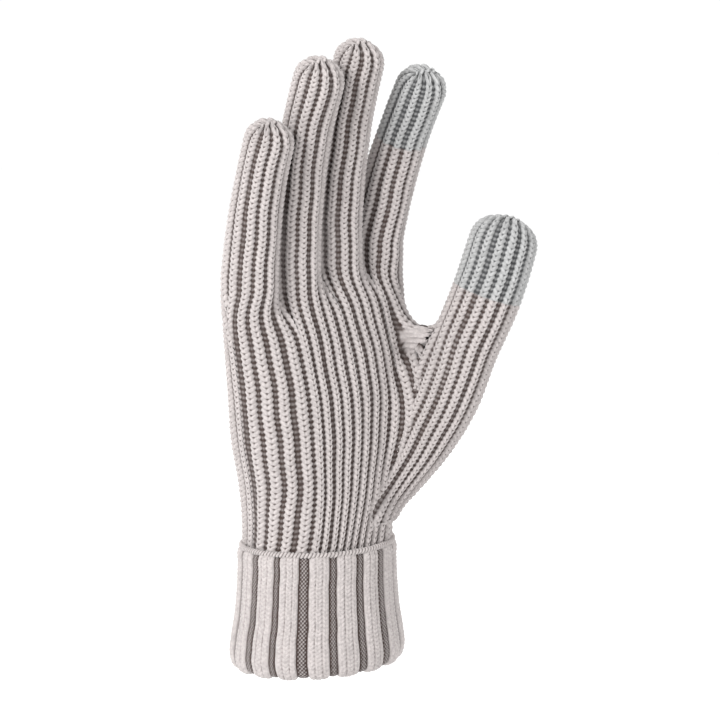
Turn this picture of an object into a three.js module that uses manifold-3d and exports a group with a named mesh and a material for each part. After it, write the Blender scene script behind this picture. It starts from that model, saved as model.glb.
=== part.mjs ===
// A ribbed knitted glove for the right hand, filled as if worn.
// Frame: origin at the centre of the cuff opening, +Z towards the fingertips,
// -Y out of the palm, +X towards the thumb. Millimetres.

import * as THREE from 'three';
import { ParametricGeometry } from 'three/addons/geometries/ParametricGeometry.js';
import { mergeVertices } from 'three/addons/utils/BufferGeometryUtils.js';
import Module from 'manifold-3d';

const wasm = await Module();
wasm.setup();

// ---------------------------------------------------------------- driving sizes

const WALL = 2.2;              // thickness of the knitted fabric
const GAP = 0.3;               // clearance between neighbouring pieces
const HALF_GAP = GAP / 2;
const CUFF_HEIGHT = 48;        // turned-up layer, fold to edge row
const EDGE_HEIGHT = 2.6;       // bind-off row on top of the turned-up layer
const CUFF_TOP = 52;           // where the inner cuff layer meets the wrist
const WRIST_TOP = 72;          // where the wrist fabric meets the hand
const TIP_ROUNDING = 9.4;      // length over which a fingertip closes
const THUMB_ROUNDING = 11.8;   // and the thumb's tip
const TOUCH_LENGTH = 31;       // conductive yarn at the end of index and thumb
const FINGER_SIDES = 16;
const HAND_SIDES = 36;
const CUFF_SIDES = 32;
const TUBE_SQUARENESS = 2.1;   // exponent of the oval sections: 2 is an ellipse
const HAND_SQUARENESS = 2.3;
const CLOSING_POWER = 2.3;     // roundness of the closed finger and thumb tips
const THIN = 0.6;              // least half thickness of a hollow's closed top

// Each finger: root and tip of its centre line, its half width and depth there, how early it
// leans sideways, and the share of its length where it bends.
const FINGERS = [
  {
    name: 'little', root: [-30, 0, 153.5], tip: [-28.5, -15.5, 211.5],
    half: [9.85, 9.1], depth: [12.4, 9.2], lean: 0.5, bend: 0.46,
  },
  {
    name: 'ring', root: [-10, 2, 161.5], tip: [-9.3, -20, 234],
    half: [9.85, 9.4], depth: [12.6, 9.4], lean: 0.5, bend: 0.46,
  },
  {
    name: 'middle', root: [10, 3.5, 165], tip: [10.3, -17, 241],
    half: [9.85, 9.4], depth: [12.6, 9.4], lean: 0.5, bend: 0.47,
  },
  {
    name: 'index', root: [30, 4.5, 165], tip: [37, -21.5, 230.5],
    half: [9.85, 9.6], depth: [12.4, 9.6], lean: 0.8, bend: 0,
  },
];
const FORWARD_LEAN = 0.12;     // share of the forward lean reached at a finger's control point
const TAPER_RATE = 1.6;        // a finger's depth reaches its tip value before its width does

// a finger form starts inside the palm: depth below the root, shares of the root's x and y it
// keeps there, and how much narrower and thinner it is
const FINGER_START = [[34, 0.943, 0.32, 1.13, 0.85], [16, 0.973, 0.68, 0.53, 0.4]];
const FINGER_STEPS = [0, 0.25, 0.5, 0.72, 0.86, 0.93, 0.97, 0.992];

// hand tube: height, half width, half thickness, offset towards the back
const HAND_TOP = 158.5;
const HAND_ROWS = [
  [44, 30, 23.2, 0], [60, 30.3, 22.4, 0], [74, 32.2, 21.2, 0], [90, 35.8, 19.4, 0], [108, 37.8, 17.4, 0],
  [126, 39, 15.4, 0.6], [140, 39.4, 13.2, 1.6], [150, 38.6, 9.6, 2.4], [156, 37, 5.6, 2.8],
  [HAND_TOP, 35.5, 2.6, 3],
];
const SHARE = 10;              // half of each finger's share of the hand's width
const INDEX_MARGIN = 3;        // the cut above the hand's rim reaches past the index finger
const REACH = 60;              // larger than anything that a cutting slab has to cover
const WEB_RISE = 0.2;          // the webs climb from the little to the index finger
const WEB_RISE_START = 126;
const CLOSING_START = 145;     // the hollow inside closes a little lower than the outside
const CLOSING_DROP = 0.7;

// thumb centre line with its half widths along and across the palm
const THUMB_PATH = [
  [21, -3, 50], [26.5, -7, 61], [32.8, -11.5, 72], [40.2, -16.8, 87], [46.2, -22.6, 104],
  [50.6, -27.3, 124], [56.2, -32.7, 143], [63, -39.8, 174.5],
];
const THUMB_HALF = [4.5, 5.6, 7.6, 10.4, 12, 13, 13.4, 12.9];
const THUMB_DEPTH = [4.5, 5.6, 7.8, 10.6, 12.2, 12.8, 12.8, 12.2];
const THUMB_STEPS = [0, 0.12, 0.24, 0.36, 0.48, 0.6, 0.72, 0.82, 0.89, 0.94, 0.97, 0.992];
const THUMB_ROOT_AT = 0.62;    // share of the thumb's centre line where the free tube starts

// fabric web between the palm and the thumb: height, centre x, centre y, half width, half thickness
const WEB_ROWS = [
  [80, 31, -8, 9, 8.5], [96, 36, -12, 12, 10], [110, 40, -14, 13, 9.5], [120, 42, -15, 12.5, 8],
  [126, 43, -15.5, 11, 5.5], [129, 43, -15.5, 9, 2.6],
];
const WEB_SLANT = 0.5;         // the web's width runs this much forwards for each step sideways
const WEB_CLOSING = 0.5;       // its hollow closes this share of the wall lower

// yarn rolls: radius and length at the fingertips, the thumb's tip and the crotches
const TIP_ROLL = [1, 5];
const THUMB_ROLL = [1, 6];
const CROTCH_ROLL = [1.3, 6];
const ROLL_INSET = 0.2;        // a tip roll's centre lies this far inside the fingertip
const ROLL_ROUNDING = 2;       // segments of a roll's rounded end
const ROLL_SIDES = 7;
const CROTCHES = [
  ['little_ring', [-20, 1, 151.6]], ['ring_middle', [0, 2.8, 158.6]],
  ['middle_index', [20, 4, 162.6]], ['thumb', [38.6, -10.5, 126.6]],
];

// cuff sections, as half width, half depth and height: outside first, then back down inside
const SLEEVE_PROFILE = [
  [29, 22.7, 3.2], [29, 22.7, 49], [30.3, 23.4, CUFF_TOP - HALF_GAP],
  [28.1, 21.2, CUFF_TOP - HALF_GAP], [26.8, 20.5, 49], [26.8, 20.5, 3.2],
];
const TURN_UP_PROFILE = [
  [27.6, 21.2, 0], [34, 26.6, 0], [36.2, 28.6, 3], [35.9, 28.3, 9], [34, 26.9, 20], [32.7, 26, 34],
  [32.4, 25.8, CUFF_HEIGHT - HALF_GAP], [29.5, 23.2, CUFF_HEIGHT - HALF_GAP], [29.8, 23.4, 34],
  [31, 24.2, 20], [32.8, 25.4, 9], [32.2, 25, 2.9], [27, 20.7, 2.9], [26.8, 20.5, 1],
];
const EDGE_PROFILE = [
  [29.5, 23.2, CUFF_HEIGHT + HALF_GAP], [32, 25.5, CUFF_HEIGHT + HALF_GAP], [32.5, 26, CUFF_HEIGHT + 1],
  [32.3, 25.8, CUFF_HEIGHT + EDGE_HEIGHT - 0.5], [31.6, 25.1, CUFF_HEIGHT + EDGE_HEIGHT],
  [30.9, 24.4, CUFF_HEIGHT + EDGE_HEIGHT], [29.6, 23.2, CUFF_HEIGHT + 1.2],
];

const MAIN = new THREE.Color(0.62, 0.57, 0.555);
const TOUCH = new THREE.Color(0.52, 0.555, 0.57);
const ROUGHNESS = 0.95;
const MERGE_WITHIN = 1e-4;     // corners closer than this are one

// ---------------------------------------------------------------- geometry helpers

// the geometry's corners and faces, with shared corners merged and slivers dropped
function toSolid(geometry) {
  const plain = geometry.clone();
  plain.deleteAttribute('normal');
  plain.deleteAttribute('uv');
  const merged = mergeVertices(plain, MERGE_WITHIN);
  const index = merged.index.array;
  const triVerts = [];
  for (let i = 0; i < index.length; i += 3) {
    const [a, b, c] = [index[i], index[i + 1], index[i + 2]];
    if (a !== b && b !== c && c !== a) triVerts.push(a, b, c);
  }
  const vertProperties = new Float32Array(merged.attributes.position.array);
  const build = (faces) => new wasm.Manifold(
    new wasm.Mesh({ numProp: 3, vertProperties, triVerts: new Uint32Array(faces) }));
  const body = build(triVerts);
  if (body.volume() > 0) return body;
  const flipped = [];
  for (let i = 0; i < triVerts.length; i += 3) flipped.push(triVerts[i], triVerts[i + 2], triVerts[i + 1]);
  return build(flipped);
}

function toGeometry(body) {
  const mesh = body.getMesh();
  const geometry = new THREE.BufferGeometry();
  geometry.setAttribute('position', new THREE.BufferAttribute(new Float32Array(mesh.vertProperties), 3));
  geometry.setIndex(new THREE.BufferAttribute(new Uint32Array(mesh.triVerts), 1));
  geometry.computeVertexNormals();
  return geometry;
}

// a closed form through rows { centre, across, deep }, pinched shut at both ends
function loft(rows, sides, squareness = 2) {
  const last = rows.length - 1;
  const power = 2 / squareness;
  const place = (u, v, target) => {
    const step = Math.round(v * (last + 2)) - 1;
    const row = rows[Math.min(Math.max(step, 0), last)];
    target.copy(row.centre);
    if (step < 0 || step > last) return;
    const angle = 2 * Math.PI * (u === 1 ? 0 : u);
    const c = Math.cos(angle);
    const s = Math.sin(angle);
    target.addScaledVector(row.across, Math.sign(c) * Math.abs(c) ** power);
    target.addScaledVector(row.deep, Math.sign(s) * Math.abs(s) ** power);
  };
  return toSolid(new ParametricGeometry(place, sides, last + 2));
}

// an oval ring whose wall follows a closed profile of [half width, half depth, height]
function ovalRing(profile, sides) {
  const place = (u, v, target) => {
    const corner = profile[Math.round(v * profile.length) % profile.length];
    const angle = 2 * Math.PI * (u === 1 ? 0 : u);
    target.set(corner[0] * Math.cos(angle), corner[1] * Math.sin(angle), corner[2]);
  };
  return toSolid(new ParametricGeometry(place, sides, profile.length));
}

// a large box whose base plane passes through a point, on the side its direction points to
function beyond(point, direction) {
  const size = 4 * REACH;
  const box = new THREE.BoxGeometry(size, size, size);
  box.translate(0, 0, size / 2);
  const turn = new THREE.Quaternion().setFromUnitVectors(new THREE.Vector3(0, 0, 1), direction);
  box.applyQuaternion(turn);
  box.translate(point.x, point.y, point.z);
  return toSolid(box);
}

function slab(low, high) {
  const box = new THREE.BoxGeometry(high[0] - low[0], high[1] - low[1], high[2] - low[2]);
  box.translate((low[0] + high[0]) / 2, (low[1] + high[1]) / 2, (low[2] + high[2]) / 2);
  return toSolid(box);
}

// the largest of the separate bodies that a cut leaves
function mainBody(body) {
  return body.decompose().sort((a, b) => b.volume() - a.volume())[0];
}

const mix = (a, b, t) => a + (b - a) * t;

// how far a rounded end has closed, a distance short of the tip
function endRounding(distance, length) {
  const t = Math.min(distance / length, 1);
  return (1 - (1 - t) ** CLOSING_POWER) ** (1 / CLOSING_POWER);
}

// ---------------------------------------------------------------- forms

const X = new THREE.Vector3(1, 0, 0);
const Y = new THREE.Vector3(0, 1, 0);
const UP = new THREE.Vector3(0, 0, 1);
const DOWN = new THREE.Vector3(0, 0, -1);

function fingerLine(finger) {
  const root = new THREE.Vector3(...finger.root);
  const tip = new THREE.Vector3(...finger.tip);
  const control = new THREE.Vector3(
    mix(root.x, tip.x, finger.lean), mix(root.y, tip.y, FORWARD_LEAN), mix(root.z, tip.z, 0.5));
  return new THREE.QuadraticBezierCurve3(root, control, tip);
}

function fingerSection(finger, line, t, inset) {
  const length = line.getLength();
  const closed = endRounding((1 - t) * length - inset, TIP_ROUNDING);
  const centre = line.getPoint(t);
  const tangent = line.getTangent(t);
  const front = new THREE.Vector3(0, -tangent.z, tangent.y).normalize();
  const half = (mix(finger.half[0], finger.half[1], t) - inset) * closed;
  const depth = (mix(finger.depth[0], finger.depth[1], Math.min(1, TAPER_RATE * t)) - inset) * closed;
  return { centre, across: X.clone().multiplyScalar(half), deep: front.multiplyScalar(depth) };
}

// finger form from inside the palm to the tip; inset shrinks it to the hollow inside
function fingerForm(finger, inset) {
  const line = fingerLine(finger);
  const [x, y, z] = finger.root;
  const rows = FINGER_START.map(([drop, keepX, keepY, narrower, thinner]) => ({
    centre: new THREE.Vector3(x * keepX, y * keepY, z - drop),
    across: X.clone().multiplyScalar(finger.half[0] - inset - narrower),
    deep: new THREE.Vector3(0, -(finger.depth[0] - inset - thinner), 0),
  }));
  const end = 1 - inset / line.getLength();
  for (const share of FINGER_STEPS) {
    rows.push(fingerSection(finger, line, share * end, inset));
  }
  return loft(rows, FINGER_SIDES, TUBE_SQUARENESS);
}

function handForm(inset) {
  const rows = HAND_ROWS.map(([z, half, depth, y]) => {
    const rise = WEB_RISE * Math.max(0, z - WEB_RISE_START) / (HAND_TOP - WEB_RISE_START);
    const fall = z > CLOSING_START ? inset * CLOSING_DROP : 0;
    return {
      centre: new THREE.Vector3(0, y, z - fall),
      across: new THREE.Vector3(half - inset, 0, (half - inset) * rise),
      deep: new THREE.Vector3(0, -Math.max(depth - inset, THIN), 0),
    };
  });
  return loft(rows, HAND_SIDES, HAND_SQUARENESS);
}

const thumbLine = new THREE.CatmullRomCurve3(THUMB_PATH.map((p) => new THREE.Vector3(...p)));
const THUMB_FACING = new THREE.Vector3(-0.56, -0.83, 0);

// the thumb's own directions: across the visible width, and out through its depth
function thumbFrame(t) {
  const tangent = thumbLine.getTangentAt(t);
  const across = new THREE.Vector3().crossVectors(tangent, THUMB_FACING).normalize();
  const deep = new THREE.Vector3().crossVectors(across, tangent).normalize();
  return { centre: thumbLine.getPointAt(t), tangent, across, deep };
}

function alongThumb(values, t) {
  const place = thumbLine.getUtoTmapping(t) * (values.length - 1);
  const low = Math.min(Math.floor(place), values.length - 2);
  return mix(values[low], values[low + 1], place - low);
}

function thumbForm(inset) {
  const length = thumbLine.getLength();
  const end = 1 - inset / length;
  const rows = THUMB_STEPS.map((share) => {
    const t = share * end;
    const { centre, across, deep } = thumbFrame(t);
    const closed = endRounding((1 - t) * length - inset, THUMB_ROUNDING);
    across.multiplyScalar((alongThumb(THUMB_HALF, t) - inset) * closed);
    deep.multiplyScalar((alongThumb(THUMB_DEPTH, t) - inset) * closed);
    return { centre, across, deep };
  });
  return loft(rows, FINGER_SIDES, TUBE_SQUARENESS);
}

function webForm(inset) {
  const rows = WEB_ROWS.map(([z, x, y, half, depth]) => ({
    centre: new THREE.Vector3(x, y, z - inset * WEB_CLOSING),
    across: new THREE.Vector3(half - inset, -(half - inset) * WEB_SLANT, 0),
    deep: new THREE.Vector3(0, -Math.max(depth - inset, THIN), 0),
  }));
  return loft(rows, FINGER_SIDES);
}

// ---------------------------------------------------------------- whole skin

const gussetOuter = thumbForm(0).add(webForm(0));
const outer = FINGERS.reduce((body, f) => body.add(fingerForm(f, 0)), handForm(0).add(gussetOuter));
const inner = FINGERS.reduce(
  (body, f) => body.add(fingerForm(f, WALL)),
  handForm(WALL).add(thumbForm(WALL)).add(webForm(WALL)));
const skin = outer.subtract(inner);

// ---------------------------------------------------------------- sub-parts

const glove = new THREE.Group();

function addPart(name, body, color) {
  const material = new THREE.MeshStandardMaterial({ color, roughness: ROUGHNESS, metalness: 0 });
  const mesh = new THREE.Mesh(toGeometry(body), material);
  mesh.name = name;
  glove.add(mesh);
}

// a short roll of yarn lying across a seam; turned from Y by its direction
function yarnRoll(centre, direction, radius, length) {
  const roll = new THREE.CapsuleGeometry(radius, length, ROLL_ROUNDING, ROLL_SIDES);
  roll.applyQuaternion(new THREE.Quaternion().setFromUnitVectors(Y, direction));
  roll.translate(centre.x, centre.y, centre.z);
  return toSolid(roll);
}

const seams = [];

// adds the roll and returns the room that the fabric around it leaves free
function addSeam(name, centre, direction, [radius, length], color) {
  addPart(name, yarnRoll(centre, direction, radius, length), color);
  const room = yarnRoll(centre, direction, radius + GAP, length);
  seams.push(room);
  return room;
}

// fingers: a root tube and an upper thimble, parted by slanted planes at the knuckle
for (const finger of FINGERS) {
  const line = fingerLine(finger);
  const [x, , z] = finger.root;
  const column = slab([x - SHARE, -REACH, z + HALF_GAP], [x + 2 * SHARE, REACH, z + 2 * REACH]);
  const tube = column.intersect(fingerForm(finger, 0)).subtract(inner);
  const touch = finger.name === 'index';
  const share = touch ? 1 - TOUCH_LENGTH / line.getLength() : finger.bend;
  const knuckle = line.getPointAt(share);
  const tangent = line.getTangentAt(share);
  const above = beyond(knuckle.clone().addScaledVector(tangent, HALF_GAP), tangent);
  const below = beyond(knuckle.clone().addScaledVector(tangent, -HALF_GAP), tangent.clone().negate());
  const colour = touch ? TOUCH : MAIN;
  const tip = line.getPoint(1).addScaledVector(line.getTangent(1), -ROLL_INSET);
  const closure = addSeam(`${finger.name}_tip_closure`, tip, X, TIP_ROLL, colour);
  addPart(`${finger.name}_finger_lower`, mainBody(tube.intersect(below)), MAIN);
  addPart(touch ? 'index_touch_tip' : `${finger.name}_finger_upper`,
    mainBody(tube.intersect(above).subtract(closure)), colour);
}

// thumb: free tube and touch tip
const thumbLength = thumbLine.getLength();
const touchAt = 1 - TOUCH_LENGTH / thumbLength;
const rootFrame = thumbFrame(THUMB_ROOT_AT);
const touchFrame = thumbFrame(touchAt);
const thumbTip = thumbFrame(1);
const thumbSkin = thumbForm(0).subtract(inner);
const aboveRoot = beyond(
  rootFrame.centre.clone().addScaledVector(rootFrame.tangent, HALF_GAP), rootFrame.tangent);
const belowTouch = beyond(
  touchFrame.centre.clone().addScaledVector(touchFrame.tangent, -HALF_GAP),
  touchFrame.tangent.clone().negate());
const aboveTouch = beyond(
  touchFrame.centre.clone().addScaledVector(touchFrame.tangent, HALF_GAP), touchFrame.tangent);
const thumbEnd = thumbTip.centre.clone().addScaledVector(thumbTip.tangent, -ROLL_INSET);
const thumbClosure = addSeam('thumb_tip_closure', thumbEnd, thumbTip.across, THUMB_ROLL, TOUCH);
addPart('thumb_lower', mainBody(thumbSkin.intersect(aboveRoot).intersect(belowTouch)), MAIN);
addPart('thumb_touch_tip', mainBody(thumbSkin.intersect(aboveTouch).subtract(thumbClosure)), TOUCH);

// linking stitches in the four crotches
for (const [name, place] of CROTCHES) {
  addSeam(`crotch_stitch_${name}`, new THREE.Vector3(...place), Y, CROTCH_ROLL, MAIN);
}

// hand: everything between the wrist and the finger roots, parted into body and gusset
let hand = skin.intersect(beyond(new THREE.Vector3(0, 0, WRIST_TOP + HALF_GAP), UP));
for (const finger of FINGERS) {
  const [x, , z] = finger.root;
  const left = finger.name === 'little' ? x - 2 * SHARE : x - SHARE;
  const right = finger.name === 'index' ? x + SHARE + INDEX_MARGIN : x + SHARE;
  hand = hand.subtract(slab([left, -REACH, z - HALF_GAP], [right, REACH, z + 2 * REACH]));
}
const thumbCut = beyond(
  rootFrame.centre.clone().addScaledVector(rootFrame.tangent, -HALF_GAP), rootFrame.tangent);
hand = hand.subtract(thumbCut.intersect(thumbForm(-GAP)));
for (const room of seams) hand = hand.subtract(room);

const gussetRoom = thumbForm(-GAP).add(webForm(-GAP)).add(gussetOuter);
addPart('hand_body', mainBody(hand.subtract(gussetRoom)), MAIN);
addPart('thumb_gusset', mainBody(hand.intersect(gussetOuter)), MAIN);

// wrist fabric between hand and cuff
const wrist = skin
  .intersect(beyond(new THREE.Vector3(0, 0, CUFF_TOP + HALF_GAP), UP))
  .intersect(beyond(new THREE.Vector3(0, 0, WRIST_TOP - HALF_GAP), DOWN));
addPart('wrist_band', mainBody(wrist), MAIN);

// cuff: straight inner layer, flared outer layer with its fold, bind-off row
addPart('cuff_sleeve', ovalRing(SLEEVE_PROFILE, CUFF_SIDES), MAIN);
addPart('cuff_turn_up', ovalRing(TURN_UP_PROFILE, CUFF_SIDES), MAIN);
addPart('cuff_edge', ovalRing(EDGE_PROFILE, CUFF_SIDES), MAIN);

export default glove;
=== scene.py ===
import math

import bpy
import numpy as np
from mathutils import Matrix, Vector


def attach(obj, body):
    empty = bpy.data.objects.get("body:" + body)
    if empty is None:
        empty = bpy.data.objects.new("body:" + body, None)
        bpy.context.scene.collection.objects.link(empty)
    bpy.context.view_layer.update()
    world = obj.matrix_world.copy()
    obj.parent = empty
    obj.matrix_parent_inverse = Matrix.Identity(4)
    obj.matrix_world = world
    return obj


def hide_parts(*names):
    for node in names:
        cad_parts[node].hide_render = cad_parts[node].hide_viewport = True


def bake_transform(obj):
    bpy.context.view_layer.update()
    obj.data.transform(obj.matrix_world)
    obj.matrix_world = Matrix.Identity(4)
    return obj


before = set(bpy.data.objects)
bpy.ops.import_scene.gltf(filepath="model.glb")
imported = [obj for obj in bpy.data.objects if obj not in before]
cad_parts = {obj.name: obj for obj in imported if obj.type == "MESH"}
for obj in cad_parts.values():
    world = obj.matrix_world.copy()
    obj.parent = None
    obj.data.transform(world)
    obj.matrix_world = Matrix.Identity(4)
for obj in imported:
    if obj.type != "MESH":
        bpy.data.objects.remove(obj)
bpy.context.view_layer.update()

# ------------------------------------------------------------------ sizes, in millimetres
# The forms repeat the CAD model's: a hand tube, four fingers, a thumb and a cuff.

MM = 0.001
ROW = 2.1                  # height of one row of stitches
CUFF_ROW = 1.6
STEPS_PER_ROW = 6          # mesh rings in one row of stitches
STEPS_PER_RIB = 14         # mesh columns in one rib
FINGER_RIBS = 6            # ribs on the front, and on the back, of each finger
PALM_RIBS = 4.5            # and over the same finger's share of the palm
BACK_REACH = 2.0           # width of the index finger's back strip below the crotch, in fingers
THUMB_RIBS = 16
CUFF_RIBS = 17
CUFF_STEPS = 38
TOUCH_LENGTH = 31
TIP_ROUNDING = 9.4
THUMB_ROUNDING = 11.8
TIP_SEAM = 0.5             # width of the closing seam over the width of the finger
TIP_SAG = 2.2              # the seam's ends lie this much lower than its middle
CUFF_TOP = 52
WRIST_SPLIT = 97           # where the wrist piece hands over to the finger strips
SKIN_INSET = 0.55          # the middle of the relief lies this far inside the CAD surface
RIB_DEPTH = 1.35           # the ribs of hand and fingers: how proud they stand,
RIB_GROOVE = 0.3           # the groove's share of their width,
RIB_BARS = 0.45            # and how far the purl bars show in it

FINGERS = [
    dict(name="little", root=(-30, 0, 153.5), tip=(-28.5, -15.5, 211.5), half=(9.85, 9.1), depth=(12.4, 9.2),
         lean=0.5, bend=0.46),
    dict(name="ring", root=(-10, 2, 161.5), tip=(-9.3, -20, 234), half=(9.85, 9.4), depth=(12.6, 9.4),
         lean=0.5, bend=0.46),
    dict(name="middle", root=(10, 3.5, 165), tip=(10.3, -17, 241), half=(9.85, 9.4), depth=(12.6, 9.4),
         lean=0.5, bend=0.47),
    dict(name="index", root=(30, 4.5, 165), tip=(37, -21.5, 230.5), half=(9.85, 9.6), depth=(12.4, 9.6),
         lean=0.8, bend=None),
]
MIDDLE_FINGER = 2          # places in the list above
INDEX_FINGER = 3
FORWARD_LEAN = 0.12
BORDER_X = [-40, -20, 0, 20, 40]
BORDER_Y = [0, 1, 2.7, 4, 4.5]
CROTCH_Z = [149, 151.5, 159, 163, 161]
WEB_LENGTH = 24            # height over which the palm divides into fingers

HAND_Z = [44, 60, 74, 90, 108, 126, 140, 152, 166]
HAND_HALF = [30, 30.3, 32.2, 35.8, 37.8, 39, 39.8, 40, 40]
HAND_DEPTH = [23.2, 22.4, 21.2, 19.4, 17.4, 15.4, 14, 12.6, 12]
HAND_Y = [0, 0, 0, 0, 0, 0.6, 1.2, 2.2, 3]
HAND_SQUARENESS = 2.3
# the palm's ribs lean: at these heights they lie this far round towards the thumb
LEAN_Z = [44, 60, 80, 100, 120, 140, 155, 166]
LEAN = [-2, 2.5, 7, 9.5, 8, 3.5, 0.5, 0]
LEAN_OUTER = 0.4           # share of the lean at the little finger's edge and at the thumb's
LEAN_INNER = 1.4

THUMB_PATH = [
    (21, -3, 50), (26.5, -7, 61), (32.8, -11.5, 72), (40.2, -16.8, 87), (46.2, -22.6, 104),
    (50.6, -27.3, 124), (56.2, -32.7, 143), (63, -39.8, 174.5),
]
THUMB_HALF = [4.5, 5.6, 7.6, 10.4, 12, 13, 13.4, 12.9]
THUMB_DEPTH = [4.5, 5.6, 7.8, 10.6, 12.2, 12.8, 12.8, 12.2]
THUMB_FACING = np.array([-0.56, -0.83, 0])
THUMB_ROOT_AT = 0.62
WEB_BLEND = 9              # how far the thumb and the palm flow into each other
WEB_PATH = [
    (31, -8, 80), (37, -12, 97), (41, -14, 110), (43, -15, 118), (43.5, -15.3, 123),
    (38.5, -11.5, 128), (35, -8.5, 134), (33, -6.5, 141),
]
WEB_RADIUS = [8.5, 10.5, 9.5, 7.5, 5.4, 4.2, 2.5, 1.5]

# The gusset's seam, where the palm's ribs end on the thumb's, measured across the direction
# that shows the palm and the thumb side by side.
SEAM_ACROSS = np.array([0.829, -0.559, 0])
SEAM_TOWARD = np.array([-0.559, -0.829, 0])
SEAM_Z = [46, 60, 69, 76, 84, 93, 102, 113, 122, 129, 135, 150]
SEAM_AT = [15, 20, 24.5, 29, 32.2, 34.9, 37.3, 38.6, 41, 44, 45.5, 46]
SEAM_SINK = 2.6            # past the seam each fabric dives this far under the other
SEAM_OVERLAP = 4           # and ends this far past it
SEAM_TOP = 134             # above this height palm and thumb are apart
CROTCH_FLOOR = 126         # below this height the web joins them
FABRIC_REACH = 14          # how far the palm's fabric reaches out over the web
GUSSET_REACH = 26          # how far the gusset's does
GUSSET_FOOT = 57           # below this height the wrist's tube is whole
HEM_SINK = 1.2             # how far the wrist's lower edge draws in
HEM_TOP = 50               # and the height where that begins


def smoothstep(t):
    t = np.clip(t, 0, 1)
    return t * t * (3 - 2 * t)


def unit(v):
    return v / np.maximum(np.linalg.norm(v, axis=-1, keepdims=True), 1e-9)


def spline(x, knots, values):
    """A smooth curve through the values, by cubic pieces with averaged slopes."""
    knots = np.asarray(knots, float)
    values = np.asarray(values, float)
    if values.ndim == 1:
        return spline(x, knots, values[:, None])[..., 0]
    slopes = np.gradient(values, knots, axis=0)
    x = np.clip(x, knots[0], knots[-1])
    i = np.clip(np.searchsorted(knots, x) - 1, 0, len(knots) - 2)
    width = (knots[i + 1] - knots[i])[..., None]
    t = ((x - knots[i]) / (knots[i + 1] - knots[i]))[..., None]
    h00 = 2 * t**3 - 3 * t**2 + 1
    h10 = t**3 - 2 * t**2 + t
    h01 = -2 * t**3 + 3 * t**2
    h11 = t**3 - t**2
    curve = h00 * values[i] + h10 * width * slopes[i]
    return curve + h01 * values[i + 1] + h11 * width * slopes[i + 1]


def end_rounding(distance, length):
    t = np.clip(distance / length, 0, 1)
    return (1 - (1 - t) ** 2.3) ** (1 / 2.3)


def wave(x, seed):
    """Smooth wandering between -1 and 1, for the unevenness of knitting."""
    slow = np.sin(x / 17.3 + 2.1 * seed)
    medium = 0.6 * np.sin(x / 7.1 + 3.7 * seed)
    return (slow + medium + 0.4 * np.sin(x / 3.1 + seed)) / 2


# ------------------------------------------------------------------ knitted relief


def knit_column(x, row):
    """A column of V stitches, x from -1 to 1 across it: its rounding, its legs and its middle crease."""
    ax = np.abs(x)
    body = np.clip(1 - ax**2.4, 0, 1) ** 0.75
    leg = (0.5 + 0.5 * np.cos(2 * np.pi * (row - 0.62 * ax))) ** 0.6
    crease = np.exp(-((ax / 0.16) ** 2))
    return body, leg, crease


def fine_rib(u, row, groove, depth, bars):
    """Relief of 1x1 rib: one column of V stitches, then a groove with purl bars.

    u is the place in the rib from 0 to 1; groove is its share of the rib, and bars is how far
    the purl bars show. Returns height in mm and painted shade from 0 to 1."""
    half = (0.5 - groove / 2) * (1 + 0.13 * np.cos(2 * np.pi * (row - 0.62)))
    x = (u - 0.5) / half
    inside = np.abs(x) < 1
    body, leg, crease = knit_column(np.clip(x, -1, 1), row)
    knit = depth * body + body * (0.5 * leg - 0.42 * crease)
    bar = (0.5 + 0.5 * np.cos(2 * np.pi * (row + 0.5))) ** 0.8
    side = np.clip(np.minimum(u, 1 - u) / (groove / 2), 0, 1)
    purl = bars * 0.6 * bar * (1 - side**2)
    height = np.where(inside, knit, purl)
    # painted shade: dark on the rib's flanks, between the legs and in the crease; in the groove dark except
    # where the purl bars show
    painted_shade = np.clip(1.0 - 2.0 * body, 0, 1) + 0.62 * body * (1 - leg) ** 2
    painted_shade = painted_shade + 0.5 * crease * (1 - 0.75 * leg)
    painted_shade_purl = 1 - bars * (0.08 + 0.7 * bar * (1 - side**2))
    return height, np.clip(np.where(inside, painted_shade, painted_shade_purl), 0, 1)


def broad_rib(u, row, channel, depth):
    """Relief of the cuff's rib: three columns of V stitches, then a channel of purl bumps."""
    v = (u - channel / 2) / (1 - channel)
    inside = (v > 0) & (v < 1)
    column = np.clip(v, 0, 0.9999) * 3
    body, leg, crease = knit_column(column % 1 * 2 - 1, row)
    dome = np.clip(1 - np.abs(2 * v - 1) ** 4, 0, 1) ** 0.6
    knit = depth * dome * (0.6 + 0.4 * body) + 0.36 * dome * leg - 0.3 * body * crease
    side = np.clip(np.minimum(u, 1 - u) / (channel / 2), 0, 1)
    across = np.cos(2 * np.pi * 1.5 * np.where(u < 0.5, u, u - 1) / (channel / 2))
    bump = (0.5 + 0.5 * np.cos(2 * np.pi * row) * across) ** 1.3
    purl = 0.75 * bump * (1 - side**4) + 0.2 * (1 - side**2)
    height = np.where(inside, knit, purl)
    # painted shade: dark down the ribs' flanks, between the columns and between the legs; in the channel dark
    # except on the purl bumps
    painted_shade = np.clip(1.2 - 2.6 * dome, 0, 1) + 0.75 * (1 - body) ** 2 * dome
    painted_shade = painted_shade + 0.45 * dome * body * (1 - leg) ** 2
    painted_shade_purl = 0.8 * (1 - bump) + 0.2 + 0.7 * side**3
    return height, np.clip(np.where(inside, painted_shade, painted_shade_purl), 0, 1)


# ------------------------------------------------------------------ meshes from grids


def grid_normals(points, closed):
    """Outward normals of a grid; rows run along the fabric, columns across it."""
    if closed:
        across = np.roll(points, -1, axis=1) - np.roll(points, 1, axis=1)
    else:
        across = np.gradient(points, axis=1)
    along = np.gradient(points, axis=0)
    return unit(np.cross(across, along))


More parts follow.
